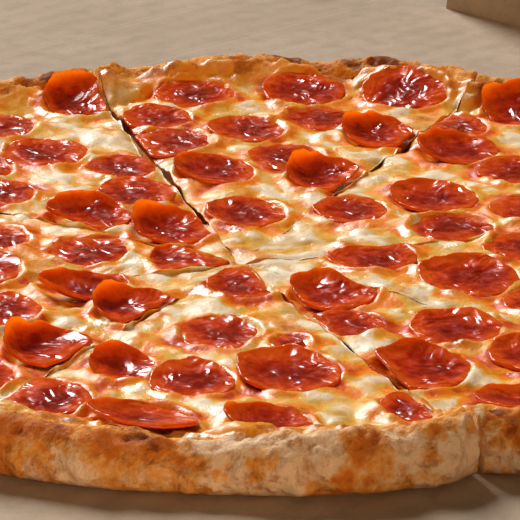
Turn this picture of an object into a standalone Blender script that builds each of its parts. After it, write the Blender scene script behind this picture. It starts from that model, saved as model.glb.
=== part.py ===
"""A sliced pizza in its opened-out corrugated box.

Sizes are millimetres and are turned into metres as each mesh is made. The origin is the middle of
the tray's underside. +Z is up, +Y points at the hinged lid and +X at the standing right-hand wall.
"""

import math
import random

import bmesh
import bpy
from mathutils import Matrix, Vector, noise
from mathutils.bvhtree import BVHTree

MM = 0.001
TOUCH_GAP = 0.35

# The box
BOARD = 3.0
TRAY_INSIDE = 510.0
WALL_HEIGHT = 50.0
CREASE_GAP = 0.4
WALL_TOP_CLEARANCE = 0.8
RIGHT_WALL_REAR_NOTCH = 29.0
RIGHT_WALL_SLANT = 5.0
CORNER_TAB_SLANT = 6.0
FLAP_INSET = 1.5
FLAP_HEIGHT = 44.0
FLAP_END_GAP = 8.0
FLAP_SLANT = 14.0
FRONT_FLAP_SLANT = 4.0

# The pizza lies towards the tray's left and rear
PIZZA_RADIUS = 202.0
PIZZA_CENTRE = Vector((-43.0, 45.0))
CUT_CENTRE = Vector((-25.0, -14.5))
CUT_ANGLES = (20, 61, 102, 153, 195, 249, 282, 333)
CUT_WIDTH = 1.2
SLICE_SHIFTS = (3.0, 1.2, 0.8, 0.8, 0.8, 1.0, 0.8, 0.8)
CORNER_ROUNDING = 5.0
CORNER_REACH = 7.0

# Unevenness: each is a height, the size of its features and the seed of its noise
OUTLINE_WAVE = (1.6, 45.0, 3.1)
CHEESE_EDGE_WAVE = (3.5, 22.0, 7.7)
RIM_WAVE = (0.13, 30.0, 1.4)
CHEESE_WAVE = (1.44, 26.0, 12.5)
PEPPERONI_WAVE = 0.05

# The crust's profile, as distance in from the outline and height
BASE_THICKNESS = 5.5
RIM_REACH = 32.0
UNDERSIDE_INSET = 5.0
RIM_OUTER = ((1.2, 2.0), (0.0, 6.5), (0.8, 11.0), (4.0, 15.2), (9.0, 17.5))
RIM_INNER = ((9.0, 17.5), (14.5, 16.0), (19.0, 11.5), (24.0, 8.0), (RIM_REACH, BASE_THICKNESS))
RIM_SHOULDER = 13.0

# The cheese
CHEESE_EDGE = 17.5
CHEESE_EDGE_SLOPE = 6.0
CHEESE_EDGE_THICKNESS = (1.0, 2.2)
CHEESE_THICKNESS = 3.3
TIP_RADIUS = 2.0

# Stations are shares of the way from the tip to the rim, and columns gather near the cuts
INNER_STATIONS = (0.0, 0.12, 0.27, 0.45, 0.63, 0.82, 1.0)
COLUMNS = 8
COLUMN_EASING = 0.09

# Pepperoni: place from the pizza's centre, diameter and height of the curled edge. The flattest
# ones have sunk into the cheese.
PEPPERONI = (
    (59, 158, 28, 6), (17, 158, 31, 1.5), (6, 120, 32, 1.5), (-35, 100, 30, 1.5), (0, 62, 28, 1.5),
    (-30, 54, 31, 5), (-20, 21, 29, 5), (-33, -4, 29, 2), (-76, 6, 30, 4), (-91, 40, 30, 4),
    (-113, 6, 30, 2), (-79, -25, 30, 6), (-121, -39, 30, 6), (-168, -63, 27, 1), (-37, -29, 27, 1.5),
    (-25, -57, 29, 4.5), (10, -41, 30, 1.5), (17, -79, 33, 3), (70, -15, 31, 3), (40, -4, 26, 1.5),
    (58, 25, 30, 6), (110, 47, 29, 5), (117, 15, 31, 5), (116, -17, 31, 1.5), (170, 30, 30, 5),
    (158, 77, 33, 2), (130, 107, 32, 2), (97, 134, 31, 1.5), (66, 123, 27, 2), (81, 88, 30, 2),
    (35, 59, 30, 4), (10, 18, 28, 2), (52, -40, 30, 1), (-21, -107, 29, 2), (-42, -79, 24, 1),
    (-74, -56, 27, 1), (-66, -79, 14, 1), (-116, -57, 20, 4), (-109, -75, 26, 2), (-86, -94, 32, 3),
    (-60, -127, 32, 3.5), (-20, -139, 28, 2), (-57, -170, 30, 4), (-79, -151, 24, 1),
    (-144, -95, 32, 4), (-118, -122, 26, 4),
)
SUNK_CURL = 1.0
SUNK_DEPTH = 1.3
SUNK_RISE = 1.3
SUNK_SHRINK = 0.96
RESTING_LIFT = TOUCH_GAP + 0.1
BOWL_POWER = 3
PEPPERONI_THICKNESS = 1.8
PEPPERONI_SIDES = 10
PEPPERONI_RING = 0.7
LEAST_SHARE = 0.35
FILL_RADIUS = 170.0
FILL_SPACING = 30.5
FILL_DIAMETERS = (27.0, 32.0)
FILL_TRIES = 3000
FILL_SEED = 5
PUSH_ROUNDS = 60
PUSH_GAP = 0.8
SUNK_REACH = 173.0
TOPPING_REACH = 188.0
EDGE_STEP = 0.02


def clear_scene():
    for old in list(bpy.data.objects):
        bpy.data.objects.remove(old, do_unlink=True)


def material(name, colour, roughness):
    made = bpy.data.materials.new(name)
    made.use_nodes = True
    shader = made.node_tree.nodes["Principled BSDF"]
    shader.inputs["Base Color"].default_value = (*colour, 1.0)
    shader.inputs["Roughness"].default_value = roughness
    return made


def object_from(name, mesh, finish):
    """The bmesh, in millimetres, as an object of that name."""
    bmesh.ops.scale(mesh, vec=(MM, MM, MM), verts=mesh.verts)
    bmesh.ops.recalc_face_normals(mesh, faces=mesh.faces)
    data = bpy.data.meshes.new(name)
    mesh.to_mesh(data)
    mesh.free()
    data.materials.append(finish)
    made = bpy.data.objects.new(name, data)
    bpy.context.scene.collection.objects.link(made)
    return made


def connected(start):
    """All the vertices that edges join to this one."""
    found = {start}
    waiting = [start]
    while waiting:
        here = waiting.pop()
        for edge in here.link_edges:
            there = edge.other_vert(here)
            if there not in found:
                found.add(there)
                waiting.append(there)
    return found


def keep_outer_skin(data):
    """Leaves only the mesh's largest connected skin, which fills hollows that joining sealed."""
    mesh = bmesh.new()
    mesh.from_mesh(data)
    left = set(mesh.verts)
    skins = []
    while left:
        skins.append(connected(next(iter(left))))
        left -= skins[-1]
    largest = max(skins, key=len)
    for skin in skins:
        if skin is not largest:
            bmesh.ops.delete(mesh, geom=list(skin), context="VERTS")
    mesh.to_mesh(data)
    mesh.free()


def union(target, others):
    """Joins the other closed objects into the target, and removes them."""
    group = bpy.data.collections.new(target.name + "_additions")
    for other in others:
        group.objects.link(other)
    join = target.modifiers.new("join", "BOOLEAN")
    join.operation = "UNION"
    join.solver = "EXACT"
    join.operand_type = "COLLECTION"
    join.collection = group
    graph = bpy.context.evaluated_depsgraph_get()
    joined = bpy.data.meshes.new_from_object(target.evaluated_get(graph))
    keep_outer_skin(joined)
    target.modifiers.clear()
    target.data = joined
    for other in others:
        bpy.data.objects.remove(other, do_unlink=True)
    bpy.data.collections.remove(group)


def hinge_at(item, pivot, parent=None):
    """Puts the object's origin on its crease, and hangs it from what it folds on."""
    pivot = pivot * MM
    item.data.transform(Matrix.Translation(-pivot))
    item.location = pivot
    if parent is not None:
        item.parent = parent
        item.location = pivot - parent.location


def slab(name, low, high, finish):
    mesh = bmesh.new()
    bmesh.ops.create_cube(mesh, size=1.0)
    for vertex in mesh.verts:
        vertex.co = Vector(
            low[axis] if vertex.co[axis] < 0 else high[axis] for axis in range(3)
        )
    return object_from(name, mesh, finish)


def upright_panel(name, outline, start, thickness, along, finish):
    """A panel whose outline is (run, height) pairs. along is the axis that it runs along."""
    mesh = bmesh.new()
    if along == "Y":
        corners = [mesh.verts.new((start, run, height)) for run, height in outline]
        step = Vector((thickness, 0, 0))
    else:
        corners = [mesh.verts.new((run, start, height)) for run, height in outline]
        step = Vector((0, thickness, 0))
    face = mesh.faces.new(corners)
    raised = bmesh.ops.extrude_face_region(mesh, geom=[face])["geom"]
    moved = [item for item in raised if isinstance(item, bmesh.types.BMVert)]
    bmesh.ops.translate(mesh, vec=step, verts=moved)
    return object_from(name, mesh, finish)


def flat_panel(name, outline, finish):
    """A board that lies flat, whose outline is (x, y) pairs."""
    mesh = bmesh.new()
    face = mesh.faces.new([mesh.verts.new((x, y, 0)) for x, y in outline])
    raised = bmesh.ops.extrude_face_region(mesh, geom=[face])["geom"]
    moved = [item for item in raised if isinstance(item, bmesh.types.BMVert)]
    bmesh.ops.translate(mesh, vec=(0, 0, BOARD), verts=moved)
    return object_from(name, mesh, finish)


def make_tray(finish):
    """The tray's floor with its standing front and right walls, and a tab that lies flat."""
    half = TRAY_INSIDE / 2
    outside = half + BOARD
    top = BOARD + WALL_HEIGHT + CREASE_GAP - WALL_TOP_CLEARANCE
    rear = half - RIGHT_WALL_REAR_NOTCH
    tab = half + WALL_HEIGHT
    floor_outline = (
        (-half, -outside), (outside, -outside), (outside, rear + BOARD),
        (tab, rear + BOARD + CORNER_TAB_SLANT), (tab, half), (-half, half),
    )
    tray = flat_panel("tray", floor_outline, finish)
    right_outline = (
        (-outside, BOARD / 2), (rear, BOARD / 2), (rear, BOARD),
        (rear - RIGHT_WALL_SLANT, top), (-outside, top),
    )
    right = upright_panel("right", right_outline, half, BOARD, "Y", finish)
    corner = half + BOARD / 2
    front_outline = ((-half, BOARD / 2), (corner, BOARD / 2), (corner, top), (-half, top))
    front = upright_panel("front", front_outline, -outside, BOARD, "X", finish)
    union(tray, [right, front])


def make_folding_walls(finish):
    """The left and the rear wall, which lie flat. Returns the rear wall."""
    half = TRAY_INSIDE / 2
    reach = half + WALL_HEIGHT
    left = slab("left_wall", (-reach, -half - BOARD, 0), (-half - CREASE_GAP, half, BOARD), finish)
    hinge_at(left, Vector((-half, 0, BOARD)))
    rear = slab("rear_wall", (-half, half + CREASE_GAP, 0), (half, reach, BOARD), finish)
    hinge_at(rear, Vector((0, half, BOARD)))
    return rear


def make_lid(finish, rear_wall):
    """The lid lies open and flat beyond the rear wall, with its three flaps standing."""
    half = TRAY_INSIDE / 2
    hinge = half + WALL_HEIGHT + CREASE_GAP
    start = hinge + CREASE_GAP
    side = half - FLAP_INSET
    far = hinge + half + side
    top = BOARD + FLAP_HEIGHT
    lid = slab("lid", (-side, start, 0), (side, far, BOARD), finish)
    flap_start = start + FLAP_END_GAP
    flap_end = far - BOARD - FLAP_INSET
    side_outline = (
        (flap_start, BOARD / 2), (flap_end, BOARD / 2), (flap_end, top),
        (flap_start + FLAP_SLANT, top), (flap_start, BOARD),
    )
    narrow = side - FRONT_FLAP_SLANT
    front_outline = ((-side, BOARD / 2), (side, BOARD / 2), (narrow, top), (-narrow, top))
    flaps = [
        upright_panel("left_flap", side_outline, -side, BOARD, "Y", finish),
        upright_panel("right_flap", side_outline, side - BOARD, BOARD, "Y", finish),
        upright_panel("front_flap", front_outline, far - BOARD, BOARD, "X", finish),
    ]
    union(lid, flaps)
    hinge_at(lid, Vector((0, hinge, BOARD)), rear_wall)


def unit(angle):
    return Vector((math.cos(angle), math.sin(angle)))


def wave(place, kind):
    """Smooth unevenness at a place. kind is one of the waves above."""
    height, size, seed = kind
    return height * noise.noise(Vector((place.x / size, place.y / size, seed)))


def rim_height(inset):
    """Height of the crust's upper face, that far in from the outline."""
    for (near, high), (far, low) in zip(RIM_INNER, RIM_INNER[1:]):
        if inset <= far:
            return high + (low - high) * (inset - near) / (far - near)
    return BASE_THICKNESS


class Slice:
    """The plan of one slice: columns of stations that its crust and its cheese share."""

    def __init__(self, index):
        self.number = index + 1
        self.start = math.radians(CUT_ANGLES[index])
        following = CUT_ANGLES[(index + 1) % len(CUT_ANGLES)]
        self.end = math.radians(following + (360 if following < CUT_ANGLES[index] else 0))
        middle = (self.start + self.end) / 2
        half_angle = (self.end - self.start) / 2
        offset = CUT_WIDTH / 2 / math.sin(half_angle)
        self.shift = unit(middle) * SLICE_SHIFTS[index]
        self.apex = CUT_CENTRE + unit(middle) * offset
        self.middle = CUT_CENTRE + unit(middle) * PIZZA_RADIUS / 2

    def holds(self, place):
        away = place - CUT_CENTRE
        angle = math.atan2(away.y, away.x)
        while angle < self.start:
            angle += math.tau
        return angle < self.end

    def reach(self, angle):
        """Distance from the apex to the outline."""
        ray = unit(angle)
        along = self.apex.dot(ray)
        across = self.apex.length_squared - along * along
        plain = math.sqrt(PIZZA_RADIUS**2 - across) - along
        rim = self.apex + ray * plain
        edge = plain * math.sin(min(angle - self.start, self.end - angle))
        corner = CORNER_ROUNDING * math.exp(-((edge / CORNER_REACH) ** 2))
        return plain + wave(rim, OUTLINE_WAVE) - corner

    def column(self, angle):
        """(place, inset, outer height) of each station on the upper face, from the tip out."""
        reach = self.reach(angle)
        ray = unit(angle)
        rim = self.apex + ray * reach
        edge = CHEESE_EDGE + wave(rim, CHEESE_EDGE_WAVE)
        swell = 1 + wave(rim, RIM_WAVE)
        inner_length = reach - RIM_REACH - TIP_RADIUS
        insets = [reach - TIP_RADIUS - share * inner_length for share in INNER_STATIONS]
        insets += [edge + CHEESE_EDGE_SLOPE, edge, RIM_SHOULDER]
        stations = [(inset, rim_height(inset) * swell) for inset in insets]
        outer = [(inset, height * swell) for inset, height in reversed(RIM_OUTER)]
        points = [
            (rim - ray * inset, height) for inset, height in stations + outer
        ]
        return points, rim - ray * UNDERSIDE_INSET

    def columns(self):
        spread = [index / COLUMNS for index in range(COLUMNS + 1)]
        eased = [share - COLUMN_EASING * math.sin(math.tau * share) for share in spread]
        return [self.column(self.start + (self.end - self.start) * share) for share in eased]


CHEESE_STATIONS = len(INNER_STATIONS) + 2


def loft(name, rings, finish):
    """A closed solid through rings of equal length, with its first and last ring filled."""
    mesh = bmesh.new()
    rows = [[mesh.verts.new(point) for point in ring] for ring in rings]
    for first, second in zip(rows, rows[1:]):
        for index in range(len(first)):
            after = (index + 1) % len(first)
            mesh.faces.new((first[index], first[after], second[after], second[index]))
    for row in (rows[0], rows[-1]):
        mesh.faces.new(row)
    bmesh.ops.triangulate(mesh, faces=mesh.faces)
    return object_from(name, mesh, finish)


def placed(part, place, height):
    spot = PIZZA_CENTRE + part.shift + place
    return Vector((spot.x, spot.y, BOARD + TOUCH_GAP + height))


def make_crust(part, finish):
    rings = []
    for points, underside in part.columns():
        ring = [placed(part, place, height) for place, height in points]
        ring.append(placed(part, underside, 0.0))
        ring.append(placed(part, points[0][0], 0.0))
        rings.append(ring)
    return loft(f"crust_{part.number}", rings, finish)


def cheese_depth(place, station):
    """Thickness of the cheese at a station, thinning out over the rim."""
    from_edge = CHEESE_STATIONS - 1 - station
    if from_edge < len(CHEESE_EDGE_THICKNESS):
        return CHEESE_EDGE_THICKNESS[from_edge]
    return CHEESE_THICKNESS + wave(place, CHEESE_WAVE)


def make_cheese(part, finish):
    rings = []
    for points, _ in part.columns():
        covered = points[:CHEESE_STATIONS]
        lower = [placed(part, place, height + TOUCH_GAP) for place, height in covered]
        upper = [
            placed(part, place, height + TOUCH_GAP + cheese_depth(place, station))
            for station, (place, height) in enumerate(covered)
        ]
        rings.append(upper + lower[::-1])
    return loft(f"cheese_{part.number}", rings, finish)


def filled_toppings():
    """The listed pepperoni, then sunk ones by rule until the rest of the cheese is covered."""
    toppings = [list(item) for item in PEPPERONI]
    draw = random.Random(FILL_SEED)
    for _ in range(FILL_TRIES):
        place = unit(draw.uniform(0, math.tau)) * FILL_RADIUS * math.sqrt(draw.random())
        diameter = draw.uniform(*FILL_DIAMETERS)
        if all(math.dist(place, item[:2]) > FILL_SPACING for item in toppings):
            toppings.append([place.x, place.y, diameter, SUNK_CURL])
    push_apart(toppings)
    return toppings


def push_apart(toppings):
    """Moves toppings that would cut into each other just clear of each other."""
    for _ in range(PUSH_ROUNDS):
        for index, first in enumerate(toppings):
            for second in toppings[index + 1 :]:
                between = Vector(second[:2]) - Vector(first[:2])
                overlap = (first[2] + second[2]) / 2 + PUSH_GAP - between.length
                if overlap > 0:
                    step = between.normalized() * overlap / 2
                    first[0] -= step.x
                    first[1] -= step.y
                    second[0] += step.x
                    second[1] += step.y
        for item in toppings:
            away = math.hypot(*item[:2])
            limit = (SUNK_REACH if item[3] <= SUNK_CURL else TOPPING_REACH) - item[2] / 2
            if away > limit:
                item[0] *= limit / away
                item[1] *= limit / away


def clipped(outline, through, normal):
    """The part of a convex outline on the normal's side of a line."""
    kept = []
    for index, here in enumerate(outline):
        after = outline[(index + 1) % len(outline)]
        depth, next_depth = (here - through).dot(normal), (after - through).dot(normal)
        if depth >= 0:
            kept.append(here)
        if depth * next_depth < 0:
            kept.append(here.lerp(after, depth / (depth - next_depth)))
    return kept


def topping_outline(part, place, diameter, seed):
    """The pepperoni's round outline, cut along the slice's two cuts."""
    outline = []
    for side in range(PEPPERONI_SIDES):
        angle = math.tau * side / PEPPERONI_SIDES
        uneven = 1 + wave(unit(angle), (PEPPERONI_WAVE, 1.0, seed))
        outline.append(place + unit(angle) * diameter / 2 * uneven)
    outline = clipped(outline, part.apex, unit(part.start + math.pi / 2))
    return clipped(outline, part.apex, unit(part.end - math.pi / 2))


def area(outline):
    pairs = zip(outline, outline[1:] + outline[:1])
    return abs(sum(a.x * b.y - a.y * b.x for a, b in pairs)) / 2


def centre_of(outline):
    return sum(outline, Vector((0.0, 0.0))) / len(outline)


def bowl(place, middle, diameter, curl):
    return curl * min(1.0, (place - middle).length / (diameter / 2)) ** BOWL_POWER


def topping_rings(outline):
    middle = centre_of(outline)
    inner = [middle.lerp(point, PEPPERONI_RING) for point in outline]
    return middle, inner


def pepperoni_mesh(name, part, outline, underside, thickness, finish):
    """A thin dished disc: rings on its upper and its lower face, and a rim between them."""
    middle, inner = topping_rings(outline)
    mesh = bmesh.new()

    def corner(place, raised):
        spot = placed(part, place, 0.0)
        spot.z = underside(place) + raised
        return mesh.verts.new(spot)

    faces = []
    for raised in (0.0, thickness):
        hub = corner(middle, raised)
        ring = [corner(point, raised) for point in inner]
        edge = [corner(point, raised) for point in outline]
        for index in range(len(outline)):
            after = (index + 1) % len(outline)
            mesh.faces.new((hub, ring[index], ring[after]))
            mesh.faces.new((ring[index], edge[index], edge[after], ring[after]))
        faces.append(edge)
    low, high = faces
    for index in range(len(outline)):
        after = (index + 1) % len(outline)
        mesh.faces.new((low[index], low[after], high[after], high[index]))
    bmesh.ops.triangulate(mesh, faces=mesh.faces)
    return object_from(name, mesh, finish)


def surface_tree(objects):
    """(tree, vertices) of the objects' faces, in metres."""
    vertices, faces = [], []
    for item in objects:
        first = len(vertices)
        vertices += [vertex.co.copy() for vertex in item.data.vertices]
        faces += [[first + index for index in face.vertices] for face in item.data.polygons]
    return BVHTree.FromPolygons(vertices, faces), vertices


def height_under(tree, spot):
    hit = tree.ray_cast(Vector((spot.x * MM, spot.y * MM, 1.0)), Vector((0, 0, -1)))[0]
    return None if hit is None else hit.z / MM


def resting_plane(samples):
    """(height, slope x, slope y, middle) of the plane that fits the samples best."""
    middle = sum((Vector((s.x, s.y)) for s in samples), Vector((0.0, 0.0))) / len(samples)
    xx = sum((s.x - middle.x) ** 2 for s in samples)
    yy = sum((s.y - middle.y) ** 2 for s in samples)
    xy = sum((s.x - middle.x) * (s.y - middle.y) for s in samples)
    mean = sum(s.z for s in samples) / len(samples)
    xz = sum((s.x - middle.x) * (s.z - mean) for s in samples)
    yz = sum((s.y - middle.y) * (s.z - mean) for s in samples)
    spread = xx * yy - xy * xy
    return mean, (xz * yy - yz * xy) / spread, (yz * xx - xz * xy) / spread, middle


def inside(outline, spot):
    turns = [
        (b - a).cross(spot - a) for a, b in zip(outline, outline[1:] + outline[:1])
    ]
    return all(turn >= 0 for turn in turns)


def resting_surface(part, outline, diameter, curl, solids):
    """A function for the height of the underside of a pepperoni that lies on the solids."""
    tree, vertices = surface_tree(solids)
    home = PIZZA_CENTRE + part.shift
    middle, inner = topping_rings(outline)
    spots = [middle] + inner + outline
    spots += [a.lerp(b, 0.5) for a, b in zip(outline, outline[1:] + outline[:1])]
    peaks = [Vector((v.x / MM, v.y / MM)) - home for v in vertices]
    spots += [peak for peak in peaks if inside(outline, peak)]
    samples = []
    for spot in spots:
        height = height_under(tree, spot + home)
        if height is not None:
            samples.append(Vector((spot.x, spot.y, height)))
    level, slope_x, slope_y, pivot = resting_plane(samples)

    def plane(place):
        return level + slope_x * (place.x - pivot.x) + slope_y * (place.y - pivot.y)

    def dished(place):
        return plane(place) + bowl(place, middle, diameter, curl)

    lift = max(sample.z - dished(sample.xy) for sample in samples) + RESTING_LIFT
    return lambda place: dished(place) + lift


def sunk_surface(part, cheese):
    """A function for the height of the underside of a pepperoni that has sunk into the cheese."""
    tree, _ = surface_tree([cheese])
    home = PIZZA_CENTRE + part.shift

    def underside(place):
        top = height_under(tree, place + home)
        if top is None:
            place = place.lerp(part.middle, EDGE_STEP)
            top = height_under(tree, place + home)
        return top - SUNK_DEPTH

    return underside


def slice_of(place, slices):
    return next(part for part in slices if part.holds(place))


def make_pepperoni(slices, solids, finish, sunk):
    """The sunk ones join their slice's cheese, and the others are nodes that lie on it."""
    count = 0
    joined = {part.number: [] for part in slices}
    for seed, (x, y, diameter, curl) in enumerate(filled_toppings()):
        if (curl <= SUNK_CURL) != sunk:
            continue
        place = Vector((x, y))
        part = slice_of(place, slices)
        outline = topping_outline(part, place, diameter, seed)
        if area(outline) < LEAST_SHARE * math.pi * diameter**2 / 4:
            continue
        crust, cheese = solids[part.number]
        if sunk:
            outline = [centre_of(outline).lerp(point, SUNK_SHRINK) for point in outline]
            underside = sunk_surface(part, cheese)
            thickness = SUNK_DEPTH + SUNK_RISE
            piece = pepperoni_mesh(f"sunk_{seed}", part, outline, underside, thickness, finish)
            joined[part.number].append(piece)
        else:
            count += 1
            underside = resting_surface(part, outline, diameter, curl, [crust, cheese])
            name = f"pepperoni_{count}"
            pepperoni_mesh(name, part, outline, underside, PEPPERONI_THICKNESS, finish)
    for part in slices:
        if joined[part.number]:
            union(solids[part.number][1], joined[part.number])


def main():
    clear_scene()
    board = material("board", (0.52, 0.40, 0.29), 0.9)
    dough = material("dough", (0.72, 0.50, 0.29), 0.75)
    cheese = material("cheese", (0.86, 0.72, 0.42), 0.45)
    meat = material("meat", (0.50, 0.07, 0.02), 0.35)
    make_tray(board)
    make_lid(board, make_folding_walls(board))
    slices = [Slice(index) for index in range(len(CUT_ANGLES))]
    solids = {part.number: (make_crust(part, dough), make_cheese(part, cheese)) for part in slices}
    make_pepperoni(slices, solids, meat, sunk=True)
    make_pepperoni(slices, solids, meat, sunk=False)


main()
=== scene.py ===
"""The looks of a pepperoni pizza in its opened-out corrugated box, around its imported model.

Plan sizes are millimetres in the pizza's own frame, whose axes are the box's and whose origin is
the pizza's centre on the tray's floor. Meshes are turned into metres as they are made.

The noise helpers take the size of the features and a seed, and then any number of layers or share.
"""

import math
import random

import bpy
import numpy as np
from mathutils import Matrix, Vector, noise

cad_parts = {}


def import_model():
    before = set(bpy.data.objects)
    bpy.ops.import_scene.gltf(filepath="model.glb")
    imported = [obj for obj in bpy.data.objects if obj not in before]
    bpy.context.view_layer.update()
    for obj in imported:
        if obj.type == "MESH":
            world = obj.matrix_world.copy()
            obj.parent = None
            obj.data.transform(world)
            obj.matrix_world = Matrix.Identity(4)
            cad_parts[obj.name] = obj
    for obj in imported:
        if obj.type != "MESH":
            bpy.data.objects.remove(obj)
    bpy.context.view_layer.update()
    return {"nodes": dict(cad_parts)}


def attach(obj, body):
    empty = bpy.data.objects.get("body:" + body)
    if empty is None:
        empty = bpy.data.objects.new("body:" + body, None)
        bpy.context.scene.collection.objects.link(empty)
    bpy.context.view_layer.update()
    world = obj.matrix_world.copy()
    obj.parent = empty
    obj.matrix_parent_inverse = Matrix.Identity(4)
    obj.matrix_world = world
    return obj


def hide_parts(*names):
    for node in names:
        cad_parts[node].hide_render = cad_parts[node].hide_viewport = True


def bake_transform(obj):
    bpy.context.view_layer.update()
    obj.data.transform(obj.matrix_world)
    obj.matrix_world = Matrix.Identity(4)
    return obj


MM = 0.001
PIZZA_BODY = "tray_and_pizza"
BOARD_PIECES = ("tray", "left_wall", "rear_wall", "lid")

# The plan of the slices, as the model has it
BOARD = 3.0
TOUCH_GAP = 0.35
LIFT = BOARD + TOUCH_GAP
PIZZA_RADIUS = 202.0
PIZZA_CENTRE = Vector((-43.0, 45.0))
CUT_CENTRE = Vector((-25.0, -14.5))
CUT_ANGLES = (20, 61, 102, 153, 195, 249, 282, 333)
CUT_WIDTH = 1.2
SLICE_SHIFTS = (3.0, 1.2, 0.8, 0.8, 0.8, 1.0, 0.8, 0.8)
OUTLINE_WAVE = 1.6
CORNER_ROUNDING = 5.0
CORNER_REACH = 7.0
RIM_WAVE = 0.13
RIM_REACH = 32.0
BASE_THICKNESS = 5.5
CHEESE_EDGE = 17.5
CHEESE_EDGE_WAVE = 3.5
CHEESE_THICKNESS = 3.3
TIP_RADIUS = 2.0

# The rim's profile as (distance in from the outline, height), from the underside round to the base
RIM_PROFILE = (
    (9.0, 0.0), (4.6, 0.2), (1.3, 2.2), (0.0, 6.5), (0.8, 11.0), (4.0, 15.2), (9.0, 17.5),
    (14.5, 16.0), (19.0, 11.5), (24.0, 8.0), (RIM_REACH, BASE_THICKNESS), (40.0, BASE_THICKNESS),
)

# Pepperoni: place, diameter and height of the curled edge
PEPPERONI = (
    (59, 158, 28, 6), (17, 158, 31, 1.5), (6, 120, 32, 1.5), (-35, 100, 30, 1.5), (0, 62, 28, 1.5),
    (-30, 54, 31, 5), (-20, 21, 29, 5), (-33, -4, 29, 2), (-76, 6, 30, 4), (-91, 40, 30, 4),
    (-113, 6, 30, 2), (-79, -25, 30, 6), (-121, -39, 30, 6), (-168, -63, 27, 1),
    (-37, -29, 27, 1.5), (-25, -57, 29, 4.5), (10, -41, 30, 1.5), (17, -79, 33, 3),
    (70, -15, 31, 3), (40, -4, 26, 1.5), (58, 25, 30, 6), (110, 47, 29, 5), (117, 15, 31, 5),
    (116, -17, 31, 1.5), (170, 30, 30, 5), (158, 77, 33, 2), (130, 107, 32, 2), (97, 134, 31, 1.5),
    (66, 123, 27, 2), (81, 88, 30, 2), (35, 59, 30, 4), (10, 18, 28, 2), (52, -40, 30, 1),
    (-21, -107, 29, 2), (-42, -79, 24, 1), (-74, -56, 27, 1), (-66, -79, 14, 1),
    (-116, -57, 20, 4), (-109, -75, 26, 2), (-86, -94, 32, 3), (-60, -127, 32, 3.5),
    (-20, -139, 28, 2), (-57, -170, 30, 4), (-79, -151, 24, 1), (-144, -95, 32, 4),
    (-118, -122, 26, 4),
)
SUNK_CURL = 1.0
LEAST_SHARE = 0.35
PEPPERONI_SIDES = 10
PEPPERONI_WAVE = 0.05
FILL_RADIUS = 170.0
FILL_SPACING = 30.5
FILL_DIAMETERS = (27.0, 32.0)
FILL_TRIES = 3000
FILL_SEED = 5
PUSH_ROUNDS = 60
PUSH_GAP = 0.8
SUNK_REACH = 173.0
TOPPING_REACH = 188.0

# Mesh spacing. A slice's columns gather near its cuts, and keep the step at that share of the radius.
CRUST_STEP = 0.95
CHEESE_STEP = 1.2
STEP_RADIUS = 0.9
COLUMN_GATHERING = 0.055
KNOT_STEPS = 12
RIM_POINTS = 72
BASE_RINGS = 8
FINE_SIDES = 40
PEPPERONI_TURNS = 56

# Domes on the crust and the cheese: size, seed and the share of places that hold one
CRUST_BLISTERS = (13, 31, 0.5)
SMALL_BLISTERS = (6, 37, 0.6)
CRUST_DIMPLES = (4.6, 43, 0.5)
SMALL_DIMPLES = (2.8, 47, 0.5)
CHEESE_BLOBS = (13, 91, 0.35)

# The crust's relief fades out on its underside and, between these insets, under the cheese
RELIEF_FOOT = (0.3, 3.3)
RELIEF_INSETS = (30.0, 44.0)
LEAST_RELIEF = 0.1
PLAIN_SHADE = 0.25
GILDED_FROM_POINT = 20

# The cheese's ragged edge on the rim, and how it thins out there
CHEESE_OVERLAP = 4.0
CHEESE_EDGE_LIMITS = (6.0, 21.0)
TAPER = 9.0
THIN_TAPER = 0.3
EDGE_STRIP = 0.6
EDGE_DROP = 0.45
# The cheese's sides run down inside the crust to this height, drawn in by this share of the slice
SKIRT_PULL = 0.02
SKIRT_FOOT = 0.6
SKIRT_SHADE = 0.2
# The cheese reaches this close to the tip, and tips run together within this far of it
CHEESE_TIP = 0.3
TIP_RUN = 9.0
# How far each cut stands open, from 0 where the cheese has run over it, in the order of the angles
CUT_OPENNESS = (0.25, 1.0, 0.35, 0.2, 0.6, 0.25, 0.2, 0.3)
# An open cut closes from the farther to the nearer of these distances from the tip
TIP_CLOSED = (35.0, 110.0)
CLOSED_SHARE = 0.3

# Each pepperoni's edge stands up most towards this direction, and is this much wider than the
# model's. Its rings are shares of its radius: from its middle out to the edge, and back below.
RAISED_SIDE = math.radians(95)
RAISED_SWING = 1.1
SPREAD = 1.06
THICKNESS = 1.7
EDGE_THINNING = 0.45
EDGE_ROUNDING = 0.3
HIGHEST_CURL = 6
STRONG_CURL = 3
STEEP_STRONG, STEEP_WEAK = 2.6, 3.4
TUCK = 0.10
SUNK_DEPTH = 1.5
RESTING_DEPTH = 1.0
PEPPERONI_UPPER = (
    0.12, 0.26, 0.4, 0.52, 0.62, 0.7, 0.77, 0.83, 0.88, 0.92, 0.955, 0.985, 1.0,
)
PEPPERONI_LOWER = (0.985, 0.93, 0.8, 0.6, 0.3)

# The pressed strips over the box's creases: section across the crease, and the box's own measures
CREASE_OFFSETS = (-5.0, -3.4, -1.6, -0.8, 0.0, 0.8, 1.6, 3.4, 5.0)
CREASE_HEIGHTS = (2.9, 3.04, 3.07, 3.05, 2.99, 3.05, 3.07, 3.04, 2.9)
CREASE_FOOT = 2.4
CREASE_SHIFT = 0.2
BOX_HALF = 255.0
REAR_WALL_RUN = 50.4
LID_INSET = 1.5

# Colours of the crust, with painted shade for its pits
DOUGH = (0.88, 0.62, 0.38)
BAKED = (0.80, 0.36, 0.08)
TOASTED = (0.66, 0.18, 0.018)
SCORCHED = (0.26, 0.065, 0.012)
PIT_SHADE = (0.46, 0.16, 0.04)
CRUST_FOOT = (0.32, 0.12, 0.03)
GILT = (0.92, 0.44, 0.06)
DEEP_GILT = (0.78, 0.22, 0.012)
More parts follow.
